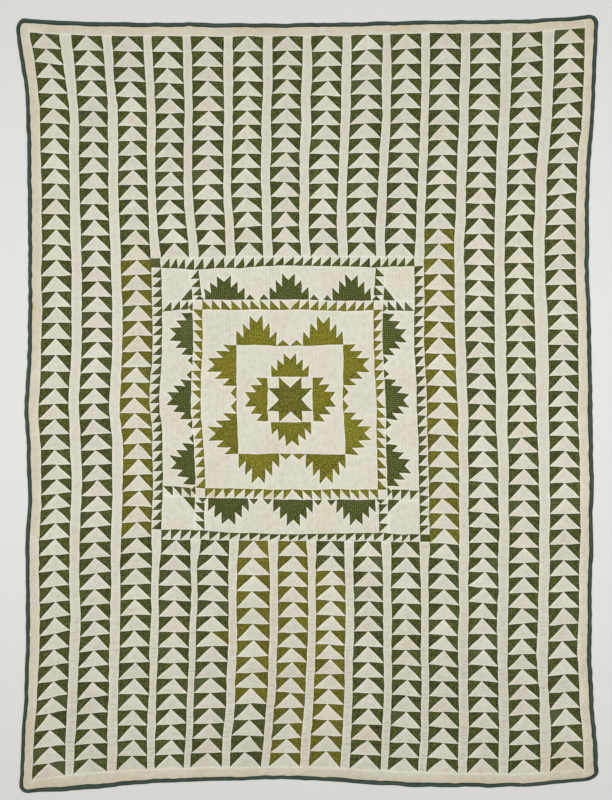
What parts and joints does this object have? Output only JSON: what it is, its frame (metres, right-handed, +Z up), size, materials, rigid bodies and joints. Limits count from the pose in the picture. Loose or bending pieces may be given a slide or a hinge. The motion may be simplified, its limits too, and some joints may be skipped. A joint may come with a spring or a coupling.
{
  "type": "patchwork quilt",
  "caption": "Flat rectangular cotton patchwork quilt for a bed: flying-geese bars and sashes round a square sawtooth medallion, with plain borders and a narrow binding.",
  "frame": {"origin": "middle of the quilt's box, on its flat underside", "axes": "+Z up out of the face, +Y to the end that the white triangles point to, +X to the right of that"},
  "size_m": [1.9198, 2.5668, 0.004],
  "materials": {
    "white_cotton": "washed plain-woven cotton muslin, matt, finely hand quilted",
    "green_calico": "matt printed cotton calico with tiny dots, beside washed white muslin",
    "pieced_cotton": "matt white muslin and green calico patches, hand pieced and quilted",
    "teal_binding": "matt woven cotton strip, rolled over the edge and worn on its ridge"
  },
  "bodies": {
    "root": {"bar_01": "green_calico", "bar_02": "green_calico", "bar_03": "green_calico", "bar_04_lower": "green_calico", "bar_04_upper": "green_calico", "bar_05_lower": "green_calico", "bar_05_upper": "green_calico", "bar_06_lower": "green_calico", "bar_06_upper": "green_calico", "bar_07_lower": "green_calico", "bar_07_upper": "green_calico", "bar_08_lower": "green_calico", "bar_08_upper": "green_calico", "bar_09_lower": "green_calico", "bar_09_upper": "green_calico", "bar_10_lower": "green_calico", "bar_10_upper": "green_calico", "bar_11": "green_calico", "bar_12": "green_calico", "bar_13": "green_calico", "bar_14": "green_calico", "binding_bottom": "teal_binding", "binding_left": "teal_binding", "binding_right": "teal_binding", "binding_top": "teal_binding", "border_bottom": "white_cotton", "border_left": "white_cotton", "border_right": "white_cotton", "border_top": "white_cotton", "medallion_middle": "pieced_cotton", "mountains_bottom": "pieced_cotton", "mountains_left": "pieced_cotton", "mountains_right": "pieced_cotton", "mountains_top": "pieced_cotton", "sash_01": "white_cotton", "sash_02": "white_cotton", "sash_03_lower": "white_cotton", "sash_03_upper": "white_cotton", "sash_04_lower": "white_cotton", "sash_04_upper": "white_cotton", "sash_05_lower": "white_cotton", "sash_05_upper": "white_cotton", "sash_06_lower": "white_cotton", "sash_06_upper": "white_cotton", "sash_07_lower": "white_cotton", "sash_07_upper": "white_cotton", "sash_08_lower": "white_cotton", "sash_08_upper": "white_cotton", "sash_09_lower": "white_cotton", "sash_09_upper": "white_cotton", "sash_10_lower": "white_cotton", "sash_10_upper": "white_cotton", "sash_11": "white_cotton", "sash_12": "white_cotton", "sash_13": "white_cotton", "sawtooth_bottom": "pieced_cotton", "sawtooth_left": "pieced_cotton", "sawtooth_right": "pieced_cotton", "sawtooth_top": "pieced_cotton"}
  },
  "joints": []
}
